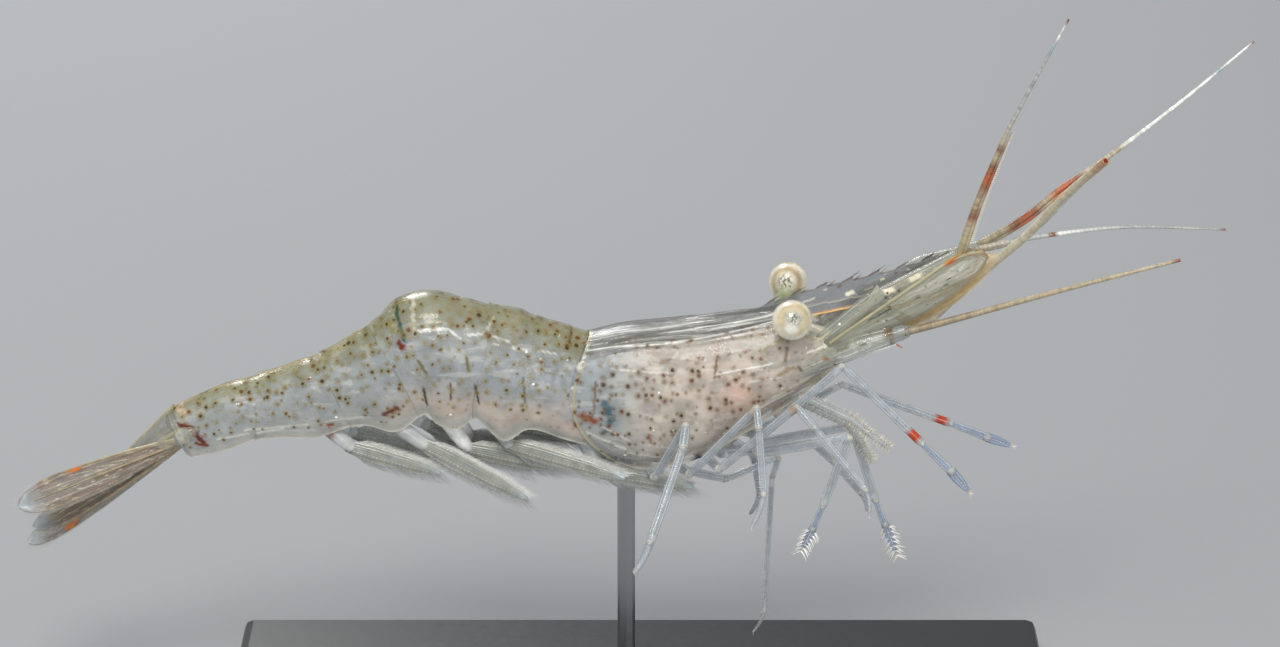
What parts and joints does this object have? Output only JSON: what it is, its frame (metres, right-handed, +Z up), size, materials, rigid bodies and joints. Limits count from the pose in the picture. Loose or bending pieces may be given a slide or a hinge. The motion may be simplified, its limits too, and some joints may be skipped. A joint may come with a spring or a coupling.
{
  "type": "glass shrimp on a display stand",
  "caption": "Life-size translucent glass shrimp, swimming with its tail fan, legs and long feelers spread, held by one rod on a flat display base.",
  "frame": {"origin": "centre of the underside of the stand's base", "axes": "+X towards the shrimp's head, along its length; +Y its left side; +Z up"},
  "size_m": [0.0622, 0.017, 0.0384],
  "materials": {
    "shell": "clear, glossy shell plates with small dark pigment spots",
    "flesh": "milky, moist flesh seen through the shell",
    "limb": "glassy blue-grey legs with whitish joints",
    "blade": "thin clear blades with darker margins",
    "feeler": "finely ringed feelers with red bands",
    "eye": "pearly, wet globes",
    "eyestalk": "translucent greenish stalks",
    "stand_rod": "satin steel rod",
    "stand_base": "satin black slab"
  },
  "bodies": {
    "root": {"abdomen_1": "shell", "abdomen_2": "shell", "abdomen_3": "shell", "abdomen_4": "shell", "abdomen_5": "shell", "abdomen_6": "shell", "antenna_flagellum_l": "feeler", "antenna_flagellum_r": "feeler", "antenna_peduncle_l": "feeler", "antenna_peduncle_r": "feeler", "antennal_scale_l": "blade", "antennal_scale_r": "blade", "antennule_inner_flagellum_l": "feeler", "antennule_inner_flagellum_r": "feeler", "antennule_outer_flagellum_l": "feeler", "antennule_outer_flagellum_r": "feeler", "antennule_peduncle_l": "feeler", "antennule_peduncle_r": "feeler", "carapace": "shell", "eye_l": "eye", "eye_r": "eye", "eyestalk_l": "eyestalk", "eyestalk_r": "eyestalk", "maxilliped_3_l": "limb", "maxilliped_3_r": "limb", "mouthparts": "flesh", "pereiopod_1_l": "limb", "pereiopod_1_r": "limb", "pereiopod_2_l": "limb", "pereiopod_2_r": "limb", "pereiopod_3_l": "limb", "pereiopod_3_r": "limb", "pereiopod_4_l": "limb", "pereiopod_4_r": "limb", "pereiopod_5_l": "limb", "pereiopod_5_r": "limb", "pleopod_1_l": "blade", "pleopod_1_r": "blade", "pleopod_2_l": "blade", "pleopod_2_r": "blade", "pleopod_3_l": "blade", "pleopod_3_r": "blade", "pleopod_4_l": "blade", "pleopod_4_r": "blade", "pleopod_5_l": "blade", "pleopod_5_r": "blade", "rostrum": "shell", "stand_base": "stand_base", "stand_rod": "stand_rod", "sternum": "flesh", "telson": "blade", "uropod_endopod_l": "blade", "uropod_endopod_r": "blade", "uropod_exopod_l": "blade", "uropod_exopod_r": "blade", "uropod_protopod_l": "blade", "uropod_protopod_r": "blade"}
  },
  "joints": []
}
